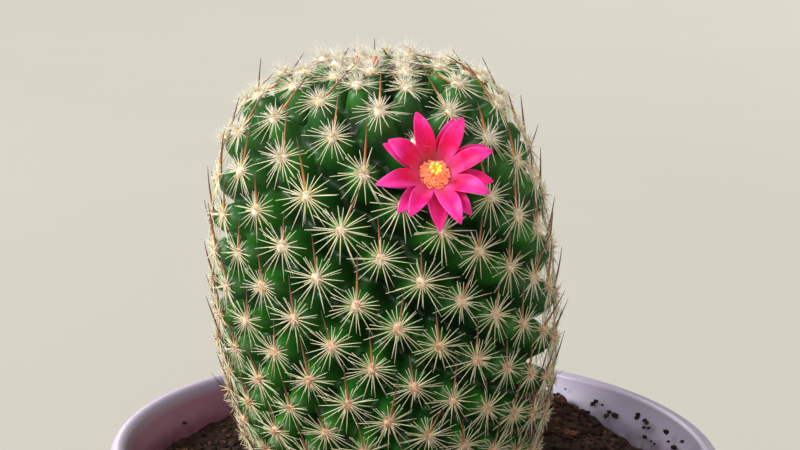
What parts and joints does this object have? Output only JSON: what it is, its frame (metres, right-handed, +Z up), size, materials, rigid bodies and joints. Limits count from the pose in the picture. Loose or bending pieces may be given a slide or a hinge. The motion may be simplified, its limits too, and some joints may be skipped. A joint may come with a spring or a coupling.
{
  "type": "potted cactus",
  "caption": "Short columnar cactus with spiral rows of spiny tubercles and one open pink flower, rooted in soil in a plain round tapered plastic pot.",
  "frame": {"origin": "centre of the pot's foot, on the surface that the pot stands on", "axes": "+Z up along the pot's axis; -Y is the front, towards which the plant leans and its flower opens; +X is to the right seen from the front"},
  "size_m": [0.112, 0.112, 0.1696],
  "materials": {
    "pot_plastic": "satin",
    "soil": "rough",
    "cactus_skin": "waxy",
    "spines": "satin",
    "areole_wool": "fluffy",
    "flower_tube": "satin",
    "petal": "satin",
    "stamen": "matte",
    "stigma": "matte",
    "bark": "rough",
    "grit": "rough"
  },
  "bodies": {
    "root": {"pot": "pot_plastic", "soil": "soil", "cactus": "cactus_skin", "flower_tube": "flower_tube", "petal_inner_01": "petal", "petal_inner_02": "petal", "petal_inner_03": "petal", "petal_inner_04": "petal", "petal_inner_05": "petal", "petal_inner_06": "petal", "petal_inner_07": "petal", "petal_inner_08": "petal", "petal_outer_01": "petal", "petal_outer_02": "petal", "petal_outer_03": "petal", "petal_outer_04": "petal", "petal_outer_05": "petal", "petal_outer_06": "petal", "petal_outer_07": "petal", "petal_outer_08": "petal", "petal_outer_09": "petal", "stamens": "stamen", "pistil": "stigma", "bark_chip_01": "bark", "bark_chip_02": "bark", "bark_chip_03": "bark", "bark_chip_04": "bark", "bark_chip_05": "bark", "bark_chip_06": "bark", "bark_chip_07": "bark", "bark_chip_08": "bark", "bark_chip_09": "bark", "bark_chip_10": "bark", "bark_chip_11": "bark", "bark_chip_12": "bark", "grit_01": "grit", "grit_02": "grit", "grit_03": "grit", "grit_04": "grit", "grit_05": "grit", "grit_06": "grit"}
  },
  "joints": []
}
